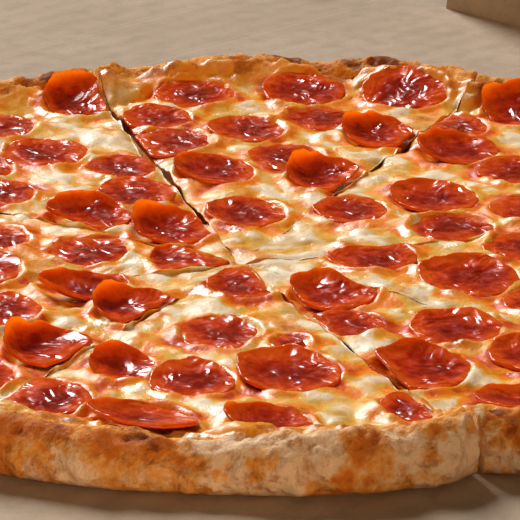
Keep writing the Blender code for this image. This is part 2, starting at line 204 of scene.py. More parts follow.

# Colours of the cheese: darker, yellower painted shade in its hollows, its own colour on its hills,
# under oil, browned, and of its specks
CHEESE_HOLLOW_SHADE = (0.70, 0.41, 0.09)
CHEESE_HILL = (0.93, 0.77, 0.53)
THIN_OIL = (0.86, 0.47, 0.06)
RED_OIL = (0.92, 0.25, 0.006)
DEEP_OIL = (0.66, 0.08, 0.005)
GOLD_CHEESE = (0.86, 0.33, 0.025)
BROWN_CHEESE = (0.50, 0.13, 0.012)
BURNT_CHEESE = (0.16, 0.045, 0.010)
SPECK = (0.16, 0.07, 0.02)

# Colours of the pepperoni, each pair dark and light: painted shade in its middle, its own colour
# outside it; then its oily edge, which also holds painted glow, the painted glow where it is raised,
# its fat, and the light that shines through it
MEAT_MIDDLE_SHADE = ((0.20, 0.006, 0.001), (0.38, 0.018, 0.002))
MEAT_OUTER = ((0.40, 0.015, 0.002), (0.66, 0.050, 0.003))
MEAT_EDGE_OIL_AND_GLOW = (0.88, 0.12, 0.005)
MEAT_PAINTED_GLOW = (1.0, 0.20, 0.004)
MEAT_FAT = (0.75, 0.28, 0.12)
MEAT_GLOW = ((0.80, 0.07, 0.006), (1.0, 0.46, 0.03))

# Colours of the board, and the spacing of its flutes
KRAFT = ((0.49, 0.375, 0.26), (0.43, 0.32, 0.215))
KRAFT_FIBRE = (0.385, 0.295, 0.20)
KRAFT_FLUTE = (0.34, 0.25, 0.165)
KRAFT_BLOT = (0.32, 0.25, 0.17)
FLUTE_PITCH = 6.5

# The camera: its place and the spot it looks at, in metres, and its lens
CAMERA_PLACE = Vector((-0.7401, -0.6521, 0.3524))
CAMERA_TARGET = Vector((-0.0621, 0.0264, 0.0130))
CAMERA_LENS = 211.4
CAMERA_SENSOR = 36.0
CAMERA_CLIP = (0.05, 50.0)

# Lights: name, bearing and elevation from the pizza, width in degrees, strength and colour
LIGHTS = (
    ("key", 72, 36, 22, 4.1, (1.0, 0.99, 0.99)),
    ("fill", -118, 14, 32, 1.75, (1.0, 0.68, 0.43)),
)
LIGHT_DISTANCE = 2.0
LIT_SPOT = Vector((PIZZA_CENTRE.x * MM, PIZZA_CENTRE.y * MM, 0.02))
SKY_COLOUR = (1.0, 0.74, 0.52, 1.0)
SKY_STRENGTH = 0.08
FLOOR_COLOUR = (0.78, 0.77, 0.75)
FLOOR_SIZE = 12
FLOOR_HEIGHT = -0.0006


# Noise on arrays of points

def hashed(ix, iy, iz, seed):
    mixed = ix * 374761393 + iy * 668265263 + iz * 1442695041 + seed * 974634777
    mixed = (mixed ^ (mixed >> 13)) & 0x7FFFFFFF
    mixed = (mixed * 1274126177) & 0x7FFFFFFF
    return mixed ^ (mixed >> 15)


def smooth_noise(points, size, seed):
    """Gradient noise from about -1 to 1, with features of the given size."""
    spot = points / size
    cell = np.floor(spot).astype(np.int64)
    part = spot - cell
    ease = part**3 * (part * (part * 6 - 15) + 10)
    total = np.zeros(len(points))
    for corner in range(8):
        step = np.array([corner & 1, corner >> 1 & 1, corner >> 2 & 1])
        at = cell + step
        code = hashed(at[:, 0], at[:, 1], at[:, 2], seed)
        away = part - step
        slope = (
            ((code & 255) / 127.5 - 1) * away[:, 0]
            + ((code >> 8 & 255) / 127.5 - 1) * away[:, 1]
            + ((code >> 16 & 255) / 127.5 - 1) * away[:, 2]
        )
        weight = np.prod(np.where(step, ease, 1 - ease), axis=1)
        total += weight * slope
    return total * 1.5


def layered(points, size, seed, layers=3):
    """Smooth noise with finer layers on top, each half the size and half the strength."""
    total = np.zeros(len(points))
    for layer in range(layers):
        total += 0.5**layer * smooth_noise(points, size / 2**layer, seed + layer)
    return total


def domes(points, size, seed, share):
    """Round bumps from 0 to 1 in a jittered lattice of cells. share is how many cells hold one."""
    spot = points / size
    cell = np.floor(spot).astype(np.int64)
    best = np.zeros(len(points))
    for dx in (-1, 0, 1):
        for dy in (-1, 0, 1):
            for dz in (-1, 0, 1):
                at = cell + (dx, dy, dz)
                code = hashed(at[:, 0], at[:, 1], at[:, 2], seed)
                middle = at + np.stack([code & 255, code >> 8 & 255, code >> 16 & 255], 1) / 255.0
                radius = 0.35 + 0.5 * (hashed(at[:, 2], at[:, 0], at[:, 1], seed + 5) & 255) / 255.0
                held = (hashed(at[:, 1], at[:, 2], at[:, 0], seed + 9) & 255) / 255.0 < share
                gap = ((spot - middle) ** 2).sum(1) / radius**2
                best = np.maximum(best, np.where(held, np.maximum(0, 1 - gap), 0))
    return best


def flattened(plan):
    """Plan points as points at height 0, for the noise helpers."""
    return np.column_stack([plan, np.zeros(len(plan))])


# The plan, as the model has it

def unit(angle):
    return Vector((math.cos(angle), math.sin(angle)))


def wave(place, size, seed):
    return noise.noise(Vector((place.x / size, place.y / size, seed)))


class Slice:
    """The plan of one slice."""

    def __init__(self, index):
        self.number = index + 1
        self.start = math.radians(CUT_ANGLES[index])
        following = CUT_ANGLES[(index + 1) % len(CUT_ANGLES)]
        self.end = math.radians(following + (360 if following < CUT_ANGLES[index] else 0))
        middle = (self.start + self.end) / 2
        offset = CUT_WIDTH / 2 / math.sin((self.end - self.start) / 2)
        self.shift = unit(middle) * SLICE_SHIFTS[index]
        self.apex = CUT_CENTRE + unit(middle) * offset

    def holds(self, place):
        away = place - CUT_CENTRE
        angle = math.atan2(away.y, away.x)
        while angle < self.start:
            angle += math.tau
        return angle < self.end

    def reach(self, angle):
        """Distance from the apex to the outline."""
        ray = unit(angle)
        along = self.apex.dot(ray)
        across = self.apex.length_squared - along * along
        plain = math.sqrt(PIZZA_RADIUS**2 - across) - along
        rim = self.apex + ray * plain
        edge = plain * math.sin(min(angle - self.start, self.end - angle))
        corner = CORNER_ROUNDING * math.exp(-((edge / CORNER_REACH) ** 2))
        return plain + OUTLINE_WAVE * wave(rim, 45, 3.1) - corner

    def columns(self, step):
        """Arrays over the slice's columns, which run out from the tip to the rim: direction, reach,
        the cheese's edge, the rim's swell, and the sine of the angle to the nearer cut."""
        arc = (self.end - self.start) * STEP_RADIUS * PIZZA_RADIUS
        share = np.linspace(0, 1, int(arc / step) + 1)
        share = share - COLUMN_GATHERING * np.sin(math.tau * share)
        angles = self.start + (self.end - self.start) * share
        reaches, edges, swells = [], [], []
        for angle in angles:
            reach = self.reach(angle)
            rim = self.apex + unit(angle) * reach
            reaches.append(reach)
            edges.append(CHEESE_EDGE + CHEESE_EDGE_WAVE * wave(rim, 22, 7.7))
            swells.append(1 + RIM_WAVE * wave(rim, 30, 1.4))
        rays = np.stack([np.cos(angles), np.sin(angles)], 1)
        to_cut = np.sin(np.minimum(angles - self.start, self.end - angles))
        return rays, np.array(reaches), np.array(edges), np.array(swells), to_cut

    def spots(self, columns, inset):
        """Plan points that far in from the outline, over (row, column)."""
        rays, reaches = columns[:2]
        along = reaches[None, :] - inset
        return np.array(self.apex) + along[..., None] * rays[None, :, :]


def push_apart(toppings):
    """Moves toppings that would overlap just clear of each other, and in from the rim."""
    for _ in range(PUSH_ROUNDS):
        for index, first in enumerate(toppings):
            for second in toppings[index + 1 :]:
                between = Vector(second[:2]) - Vector(first[:2])
                overlap = (first[2] + second[2]) / 2 + PUSH_GAP - between.length
                if overlap > 0:
                    step = between.normalized() * overlap / 2
                    first[0] -= step.x
                    first[1] -= step.y
                    second[0] += step.x
                    second[1] += step.y
        for item in toppings:
            away = math.hypot(*item[:2])
            limit = (SUNK_REACH if item[3] <= SUNK_CURL else TOPPING_REACH) - item[2] / 2
            if away > limit:
                item[0] *= limit / away
                item[1] *= limit / away


def filled_toppings():
    """The listed pepperoni, then sunk ones by rule until the rest of the cheese is covered."""
    toppings = [list(item) for item in PEPPERONI]
    draw = random.Random(FILL_SEED)
    for _ in range(FILL_TRIES):
        place = unit(draw.uniform(0, math.tau)) * FILL_RADIUS * math.sqrt(draw.random())
        diameter = draw.uniform(*FILL_DIAMETERS)
        if all(math.dist(place, item[:2]) > FILL_SPACING for item in toppings):
            toppings.append([place.x, place.y, diameter, SUNK_CURL])
    push_apart(toppings)
    return toppings


def clipped(outline, through, normal):
    """The part of a convex outline on the normal's side of a line."""
    kept = []
    for index, here in enumerate(outline):
        after = outline[(index + 1) % len(outline)]
        depth, next_depth = (here - through).dot(normal), (after - through).dot(normal)
        if depth >= 0:
            kept.append(here)
        if depth * next_depth < 0:
            kept.append(here.lerp(after, depth / (depth - next_depth)))
    return kept


def topping_outline(part, place, diameter, seed, sides):
    """The pepperoni's round outline, cut along the slice's two cuts."""
    outline = []
    for side in range(sides):
        angle = math.tau * side / sides
        spot = Vector((math.cos(angle), math.sin(angle), seed))
        uneven = 1 + PEPPERONI_WAVE * noise.noise(spot)
        outline.append(place + unit(angle) * diameter / 2 * uneven)
    outline = clipped(outline, part.apex, unit(part.start + math.pi / 2))
    return clipped(outline, part.apex, unit(part.end - math.pi / 2))


def sides_of(outline):
    return list(zip(outline, outline[1:] + outline[:1]))


def area(outline):
    return abs(sum(a.x * b.y - a.y * b.x for a, b in sides_of(outline))) / 2


def edge_radii(outline, middle, turns):
    """Distance from the middle to a convex outline in each of the directions."""
    radii = []
    for turn in range(turns):
        ray = unit(math.tau * turn / turns)
        best = math.inf
        for a, b in sides_of(outline):
            side = b - a
            across = ray.cross(side)
            if abs(across) < 1e-9:
                continue
            along = (a - middle).cross(side) / across
            share = (a - middle).cross(ray) / across
            if along > 0 and -1e-6 <= share <= 1 + 1e-6:
                best = min(best, along)
        radii.append(best)
    return np.array(radii)


class Topping:
    """One pepperoni: its slice, middle, edge radius by direction, curl and the node it stands for."""

    def __init__(self, part, curl, seed, outline, node):
        self.part = part
        self.seed = seed
        self.curl = curl
        self.node = node
        middle = sum(outline, Vector((0.0, 0.0))) / len(outline)
        self.middle = np.array(middle)
        self.radii = edge_radii(outline, middle, PEPPERONI_TURNS)


def all_toppings(slices):
    found, count = [], 0
    for seed, (x, y, diameter, curl) in enumerate(filled_toppings()):
        place = Vector((x, y))
        part = next(part for part in slices if part.holds(place))
        coarse = topping_outline(part, place, diameter, seed, PEPPERONI_SIDES)
        if area(coarse) < LEAST_SHARE * math.pi * diameter**2 / 4:
            continue
        node = None
        if curl > SUNK_CURL:
            count += 1
            node = f"pepperoni_{count}"
        outline = topping_outline(part, place, diameter, seed, FINE_SIDES)
        found.append(Topping(part, curl, seed, outline, node))
    return found


# Meshes

def mesh_object(name, points, faces, attributes, finish):
    """points are millimetres in the row frame. attributes are named arrays over the points."""
    data = bpy.data.meshes.new(name)
    data.from_pydata((points * MM).tolist(), [], faces)
    for key, values in attributes.items():
        layer = data.attributes.new(key, "FLOAT", "POINT")
        layer.data.foreach_set("value", np.asarray(values, dtype=np.float32))
    data.materials.append(finish)
    data.shade_smooth()
    made = bpy.data.objects.new(name, data)
    bpy.context.scene.collection.objects.link(made)
    return made


def to_row_frame(part, points):
    return points + np.array([*(PIZZA_CENTRE + part.shift), LIFT])


def grid_faces(rows, columns):
    """Quads over a grid of points that is rows long and columns wide."""
    row, column = np.meshgrid(np.arange(rows - 1), np.arange(columns - 1), indexing="ij")
    a = (row * columns + column).ravel()
    return np.stack([a, a + 1, a + columns + 1, a + columns], 1)


def rim_curve():
    """Smooth points along the rim's profile, with the outward normal at each."""
    knots = np.array(RIM_PROFILE)
    ends = np.vstack([2 * knots[0] - knots[1], knots, 2 * knots[-1] - knots[-2]])
    points = []
    for index in range(1, len(ends) - 2):
        p0, p1, p2, p3 = ends[index - 1 : index + 3]
        bend = 2 * p0 - 5 * p1 + 4 * p2 - p3
        turn = 3 * p1 - p0 - 3 * p2 + p3
        for t in np.linspace(0, 1, KNOT_STEPS, endpoint=False):
            points.append(0.5 * (2 * p1 + (p2 - p0) * t + bend * t**2 + turn * t**3))
    points = np.array(points + [knots[-1]])
    length = np.concatenate([[0], np.cumsum(np.hypot(*np.diff(points, axis=0).T))])
    even = np.linspace(0, length[-1], RIM_POINTS)
    curve = np.stack([np.interp(even, length, points[:, axis]) for axis in (0, 1)], 1)
    along = np.gradient(curve, axis=0)
    normal = np.stack([-along[:, 1], along[:, 0]], 1)
    return curve, normal / np.linalg.norm(normal, axis=1)[:, None]


def upper_face():
    """The rim's profile and its normals, from the top inwards."""
    curve, normal = rim_curve()
    top = np.argmax(curve[:, 1])
    return curve[top:], normal[top:]


def crust_relief(points):
    """How far the crust stands out at each point: lumps, blisters and a fine grain."""
    lumps = 1.5 * smooth_noise(points, 22, 11)
    folds = 0.5 * layered(points, 8, 21, 2)
    blisters = 1.7 * domes(points, *CRUST_BLISTERS) ** 0.8 + domes(points, *SMALL_BLISTERS)
    dimples = 1.1 * domes(points, *CRUST_DIMPLES) + 0.6 * domes(points, *SMALL_DIMPLES)
    grain = 0.2 * layered(points, 2.2, 41, 2)
    return lumps + folds + blisters - dimples + grain - 0.8


def relief_fade(inset):
    """The share of the relief that is left that far in from the outline."""
    near, far = RELIEF_INSETS
    return np.clip((far - inset) / (far - near), LEAST_RELIEF, 1)


def crust_toast(points):
    """How browned the crust is at each point, from 0 to 1."""
    patches = np.clip(0.5 + 1.5 * layered(points, 34, 51), 0, 1)
    spots = domes(points, 10, 61, 0.45) * (0.6 + 0.8 * smooth_noise(points, 30, 63))
    specks = 0.9 * domes(points, *CRUST_DIMPLES) + 0.6 * domes(points, *SMALL_DIMPLES)
    blisters = domes(points, *CRUST_BLISTERS)
    upper = np.clip((points[:, 2] - 9) / 8, 0, 1)
    browned = 0.34 * patches + 0.5 * spots + 0.26 * specks + 0.25 * blisters * upper
    return np.clip(browned + 0.3 * upper * patches - 0.12, 0, 1)


def crust_gilding(points, curve):
    """Oil from the cheese gilds the rim's inner side and, on the pizza's far side, its top too."""
    inner = np.clip((curve[:, 0] - 5) / 9, 0, 1) * (curve[:, 1] > 4)
    inner = inner * (np.arange(RIM_POINTS) > GILDED_FROM_POINT)
    upper = np.clip((points[:, 2] - 9) / 5, 0, 1)
    far = np.clip(points[:, :2].sum(1) / PIZZA_RADIUS, 0, 1) * upper
    gilding = np.maximum(np.repeat(inner, len(points) // RIM_POINTS), 0.9 * far)
    return gilding * (0.7 + 0.8 * layered(flattened(points[:, :2]), 16, 121))


def rim_grid(part, columns, curve, normal):
    """Points of the rim over (profile point, column), with its relief, and the plain points."""
    rays, swells = columns[0], columns[3]
    inset = curve[:, 0][:, None] * np.ones(len(rays))
    height = curve[:, 1][:, None] * swells[None, :]
    plan = part.spots(columns, inset)
    plain = np.concatenate([plan, height[..., None]], 2).reshape(-1, 3)
    low, high = RELIEF_FOOT
    fade = np.clip((curve[:, 1] - low) / (high - low), 0, 1) * relief_fade(curve[:, 0])
    relief = crust_relief(plain).reshape(height.shape) * fade[:, None]
    outward = -normal[:, 0][:, None, None] * rays[None, :, :]
    moved = plan + outward * relief[..., None]
    lifted = height + normal[:, 1][:, None] * relief
    return np.concatenate([moved, lifted[..., None]], 2), plain


def make_crust(part, finish):
    columns = part.columns(CRUST_STEP)
    rays, reaches = columns[:2]
    count = len(rays)
    curve, normal = rim_curve()
    rim, plain = rim_grid(part, columns, curve, normal)
    base = []
    for share in np.linspace(1, 0, BASE_RINGS + 1)[1:]:
        along = TIP_RADIUS + share * (reaches - curve[-1, 0] - TIP_RADIUS)
        plan = np.array(part.apex) + along[:, None] * rays
        base.append(np.column_stack([plan, np.full(count, BASE_THICKNESS)]))
    under = flattened(np.array(part.apex) + TIP_RADIUS * rays)
    rings = np.concatenate([rim, np.array(base), under[None]])
    rings[:, :, 2] = np.maximum(rings[:, :, 2], 0.0)
    rest = np.full((len(rings) - len(rim)) * count, PLAIN_SHADE)
    shades = {
        "toast": np.concatenate([crust_toast(plain), rest]),
        "height": rings[:, :, 2].ravel(),
        "inner": np.concatenate([crust_gilding(plain, curve), rest]),
    }
    faces = grid_faces(len(rings), count).tolist()
    last = (len(rings) - 1) * count
    faces += [[i, last + i, last + i + 1, i + 1] for i in range(count - 1)]
    faces.append([row * count for row in range(len(rings))])
    faces.append([row * count + count - 1 for row in range(len(rings))][::-1])
    points = to_row_frame(part, rings.reshape(-1, 3))
    made = mesh_object(f"baked_crust_{part.number}", points, faces, shades, finish)
    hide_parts(f"crust_{part.number}")
    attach(made, PIZZA_BODY)


def crust_top(part, columns, inset):
    """Plan and height of the crust's upper face over (station, column), at the given insets."""
    swells = columns[3]
    upper, upper_normal = upper_face()
    swell = np.where(inset < RIM_REACH, swells[None, :], 1.0)
    swell = 1 + (swell - 1) * np.clip((RIM_REACH - inset) / 10, 0, 1)
    height = np.interp(inset, upper[:, 0], upper[:, 1]) * swell
    facing_up = np.interp(inset, upper[:, 0], upper_normal[:, 1])
    plan = part.spots(columns, inset)
    relief = crust_relief(np.concatenate([plan, height[..., None]], 2).reshape(-1, 3))
    return plan, height + facing_up * relief.reshape(height.shape) * relief_fade(inset)


def near_toppings(plan, toppings):
    """Distance to the nearest topping's edge for each plan point, below 0 inside it."""
    best = np.full(len(plan), 60.0)
    angles = np.linspace(0, math.tau, PEPPERONI_TURNS + 1)
    for topping in toppings:
        away = plan - topping.middle
        turn = np.arctan2(away[:, 1], away[:, 0]) % math.tau
        radii = np.append(topping.radii, topping.radii[0])
        edge = np.hypot(away[:, 0], away[:, 1]) - np.interp(turn, angles, radii)
        best = np.minimum(best, edge)
    return best


def cheese_edge(part, columns):
    """How far in from the outline the cheese ends, with ragged runs over the rim."""
    flat = flattened(part.spots(columns, 0.0)[0])
    ragged = 2.2 * layered(flat, 9, 71) + 4.0 * np.clip(smooth_noise(flat, 26, 73), -0.6, 1)
    return np.clip(columns[2] - CHEESE_OVERLAP - ragged, *CHEESE_EDGE_LIMITS)


def cheese_hills(flat):
    hills = 1.4 * layered(flat, 14, 83, 2) + 0.6 * domes(flat, 6, 93, 0.3)
    return hills + 0.2 * layered(flat, 3.6, 87, 2)


def cheese_blanket(flat, hills, gap, taper):
    """Thickness of the cheese at each point."""
    blanket = CHEESE_THICKNESS + 1.2 * smooth_noise(flat, 26, 81) + hills
    blanket += 1.3 * domes(flat, *CHEESE_BLOBS)
    # Melted cheese stands up around each pepperoni, and laps over its edge here and there
    lap = 0.6 + 1.7 * smooth_noise(flat, 9, 96)
    lip = np.exp(-(((gap - lap) / 1.8) ** 2)) * (1.0 + 1.1 * smooth_noise(flat, 11, 95))
    blanket += lip - 2.2 * np.clip(-gap / 4, 0, 1)
    return blanket * taper * (2 - taper)


def cut_openness(part, flat, from_tip, first_half):
    """How far the nearer cut stands open at each point."""
    halves = (CUT_OPENNESS[part.number - 1], CUT_OPENNESS[part.number % len(CUT_ANGLES)])
    near, far = TIP_CLOSED
    away = np.clip((from_tip - near) / (far - near), 0, 1)
    here = np.where(first_half, *halves) * (CLOSED_SHARE + (1 - CLOSED_SHARE) * away)
    return np.clip(here + 0.9 * smooth_noise(flat, 17, 97), 0, 1.2)


def cheese_shades(flat, hills, gap, from_edge):
    """Oil, browning and height of the cheese at each point, each from 0 to 1."""
    oil = np.exp(-((np.maximum(gap, 0) / 7) ** 2)) * (0.7 + 0.9 * layered(flat, 14, 101))
    oil += 0.5 * np.clip(layered(flat, 30, 103), 0, 1)
    brown = domes(flat, *CHEESE_BLOBS) * 0.8 + 0.6 * layered(flat, 12, 107) - 0.25
    near_rim = np.clip(1.25 - from_edge / 14, 0, 1)
    brown = np.maximum(np.clip(brown, 0, 1), near_rim * (0.6 + 0.7 * layered(flat, 10, 109)))
    shades = {"oil": oil, "brown": brown, "hills": 0.5 + 0.5 * hills}
    return {name: np.clip(values, 0, 1) for name, values in shades.items()}


def closed_below(top):
    """Points and faces of the cheese: its top, then sides that run down and in to a middle point."""
    rows, count = top.shape[:2]
    points = top.reshape(-1, 3)
    faces = grid_faces(rows, count)[:, ::-1].tolist()
    loop = list(range(count))
    loop += [row * count + count - 1 for row in range(1, rows)]
    loop += [(rows - 1) * count + i for i in range(count - 2, -1, -1)]
    loop += [row * count for row in range(rows - 2, 0, -1)]
    skirt = points[loop].copy()
    skirt[:, :2] += (skirt[:, :2].mean(0) - skirt[:, :2]) * SKIRT_PULL
    skirt[:, 2] = SKIRT_FOOT
    first = rows * count
    hub = first + len(loop)
    for index, here in enumerate(loop):
        after = (index + 1) % len(loop)
        faces.append([first + index, first + after, loop[after], here])
        faces.append([hub, first + after, first + index])
    return np.concatenate([points, skirt, skirt.mean(0)[None]]), faces


def make_cheese(part, toppings, finish):
    columns = part.columns(CHEESE_STEP)
    rays, reaches, _, _, to_cut = columns
    stations = int((reaches.max() - CHEESE_EDGE) / CHEESE_STEP)
    share = np.linspace(0, 1, stations + 1)[:, None]
    edge = cheese_edge(part, columns)
    inset = reaches - (CHEESE_TIP + share * (reaches - edge - CHEESE_TIP))
    plan, ground = crust_top(part, columns, inset)
    shape = inset.shape
    flat = flattened(plan.reshape(-1, 2))
    from_edge = (inset - edge).ravel()
    from_tip = (reaches - inset).ravel()
    from_cut = ((reaches - inset) * to_cut).ravel()
    hills = cheese_hills(flat)
    gap = near_toppings(flat[:, :2], [topping for topping in toppings if topping.part is part])
    taper = np.clip(from_edge / TAPER, 0, 1)
    blanket = cheese_blanket(flat, hills, gap, taper) - EDGE_DROP * (from_edge < EDGE_STRIP)
    first_half = np.broadcast_to(np.arange(len(rays)) < len(rays) / 2, shape)
    open_cut = cut_openness(part, flat, from_tip, first_half.ravel())
    blanket -= 1.3 * open_cut * np.exp(-((from_cut / 2.2) ** 2))
    blanket = np.maximum(blanket, np.where(taper < THIN_TAPER, -1.0, 0.7))
    height = ground.ravel() + blanket
    # Where the cut isn't open, the cheese has run into it
    run = 1.5 * (1 - np.clip(open_cut, 0, 1)) * np.exp(-((from_cut / 2.5) ** 2))
    run = run.reshape(shape) * np.where(first_half, -1.0, 1.0)
    across = np.stack([-rays[:, 1], rays[:, 0]], 1)
    plan = plan + run[..., None] * across[None, :, :]
    # The tips have run together at the middle
    joined = np.exp(-((from_tip / TIP_RUN) ** 2)).reshape(shape)
    plan = plan + joined[..., None] * np.array(CUT_CENTRE - part.apex - part.shift)
    top = np.concatenate([plan, height.reshape(shape)[..., None]], 2)
    points, faces = closed_below(top)
    below = np.full(len(points) - len(flat), SKIRT_SHADE)
    shades = cheese_shades(flat, hills, gap, from_edge)
    shades = {name: np.concatenate([values, below]) for name, values in shades.items()}
    points = to_row_frame(part, points)
    made = mesh_object(f"melted_cheese_{part.number}", points, faces, shades, finish)
    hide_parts(f"cheese_{part.number}")
    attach(made, PIZZA_BODY)


def cheese_level(part, topping):
    """Height of the cheese under a topping and how it slopes, from the plain profile."""
    spots = [topping.middle]
    for turn in range(0, PEPPERONI_TURNS, 4):
        ray = np.array(unit(math.tau * turn / PEPPERONI_TURNS))
        spots.append(topping.middle + ray * topping.radii[turn] * 0.8)
    spots = np.array(spots)
    upper, _ = upper_face()
    heights = []
    for offset in spots - np.array(part.apex):
        angle = math.atan2(offset[1], offset[0])
        while angle < part.start:
            angle += math.tau
        angle = min(max(angle, part.start), part.end)
        inset = part.reach(angle) - math.hypot(*offset)
        heights.append(np.interp(inset, upper[:, 0], upper[:, 1]) + CHEESE_THICKNESS)
    table = np.column_stack([spots - topping.middle, np.ones(len(spots))])
    slope_x, slope_y, level = np.linalg.lstsq(table, np.array(heights), rcond=None)[0]
    return level, slope_x, slope_y


def ring_noise(directions, frequency, slot, seed):
    """Noise round a ring, which differs from slot to slot."""
    spots = np.column_stack([directions * frequency, np.full(len(directions), slot)])
    return smooth_noise(spots, 1, seed)


def disc_faces(rows, count):
    """Faces of closed rings, with a middle point after the last ring for each end."""
    faces = []
    top_hub, low_hub = rows * count, rows * count + 1
    last = (rows - 1) * count
    for index in range(count):
        after = (index + 1) % count
        for start in range(0, last, count):
            a, b = start + index, start + after
            faces.append([a, a + count, b + count, b])
        faces.append([top_hub, index, after])
        faces.append([low_hub, last + after, last + index])
    return faces


def make_pepperoni(topping, finish):
    seed, curl = topping.seed, topping.curl
    turns = np.arange(PEPPERONI_TURNS) * math.tau / PEPPERONI_TURNS
    directions = np.stack([np.cos(turns), np.sin(turns)], 1)
    rim_wave = ring_noise(directions, 1.3, seed * 3.7, 201)
    fine_wave = ring_noise(directions, 3.5, seed * 1.9, 203)
    nicks = ring_noise(directions, 7, seed * 2.3, 205)
    radii = topping.radii * SPREAD * (1 + 0.07 * rim_wave + 0.05 * fine_wave + 0.02 * nicks)
    turned = RAISED_SIDE + RAISED_SWING * noise.noise(Vector((seed * 0.71, 4.2, 0.0)))
    facing = 0.5 + 0.5 * np.cos(turns - turned)
    lift = curl * (0.22 + 1.25 * facing**1.6) * (1 + 0.3 * rim_wave + 0.15 * fine_wave)
    steep = STEEP_STRONG if curl > STRONG_CURL else STEEP_WEAK
    tuck = TUCK * min(1.0, curl / HIGHEST_CURL)

    def ring(share, swell, height):
        radius = radii * (share - tuck * share**6) + swell
        plan = topping.middle + directions * radius[:, None]
        return np.column_stack([plan, lift * share**steep + height])

    rows = [ring(share, 0, THICKNESS * (1 - EDGE_THINNING * share**6)) for share in PEPPERONI_UPPER]
    rows += [ring(share, 0.25 * share, 0) for share in PEPPERONI_LOWER]
    rows[len(PEPPERONI_UPPER) - 1][:, 2] -= THICKNESS * EDGE_ROUNDING
    points = np.concatenate(rows)
    texture = np.column_stack([points[:, :2], np.full(len(points), seed * 11.0)])
    bumps = 0.55 * layered(texture, 10, 211, 2) + 0.07 * layered(texture, 3.2, 213, 1)
    bumps[len(PEPPERONI_UPPER) * PEPPERONI_TURNS :] *= 0.3
    level, slope_x, slope_y = cheese_level(topping.part, topping)
    bottom = level - (RESTING_DEPTH if topping.node else SUNK_DEPTH)
    away = points[:, :2] - topping.middle
    points[:, 2] += bumps + bottom + slope_x * away[:, 0] + slope_y * away[:, 1]
    hubs = [[*topping.middle, bottom + THICKNESS - 0.1], [*topping.middle, bottom]]
    points = np.concatenate([points, hubs])
    shares = np.array(PEPPERONI_UPPER + PEPPERONI_LOWER)
    raised = lift[None, :] / HIGHEST_CURL * shares[:, None] ** steep
    shades = {
        "rim": np.append(np.repeat(shares, PEPPERONI_TURNS), [0, 0]),
        "lift": np.append(raised.ravel(), [0, 0]),
    }
    faces = disc_faces(len(rows), PEPPERONI_TURNS)
    points = to_row_frame(topping.part, points)
    made = mesh_object(f"cured_slice_{seed + 1}", points, faces, shades, finish)
    if topping.node:
        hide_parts(topping.node)
    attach(made, PIZZA_BODY)


def make_crease(name, start, across, along, finish):
    """A pressed strip of board over a crease, from the start and along, and even across it."""
    start, across, along = (np.array(item, dtype=float) for item in (start, across, along))
    section = list(zip(CREASE_OFFSETS, CREASE_HEIGHTS))
    section += [(offset, CREASE_FOOT) for offset in reversed(CREASE_OFFSETS)]
    points = []
    for end in (start, start + along):
        points += [(*(end + across * offset), height) for offset, height in section]
    count = len(section)
    faces = [[i, (i + 1) % count, count + (i + 1) % count, count + i] for i in range(count)]
    faces += [list(range(count))[::-1], list(range(count, 2 * count))]
    made = mesh_object(name, np.array(points), faces, {}, finish)
    made.data.shade_flat()
    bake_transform(made)


def make_creases(finish):
    near, far = -BOX_HALF, BOX_HALF
    left = (near - CREASE_SHIFT, near - BOARD)
    rear = (near, far + CREASE_SHIFT)
    lid = (near + LID_INSET, far + REAR_WALL_RUN)
    for name, bodies, start, across, along in (
        ("left_crease", (PIZZA_BODY, "left_wall"), left, (-1, 0), (0, far - near + BOARD)),
        ("rear_crease", (PIZZA_BODY, "rear_wall"), rear, (0, 1), (far - near, 0)),
        ("lid_crease", ("rear_wall", "lid"), lid, (0, 1), (far - near - 2 * LID_INSET, 0)),
    ):
        make_crease(name, start, across, along, finish)


# Materials

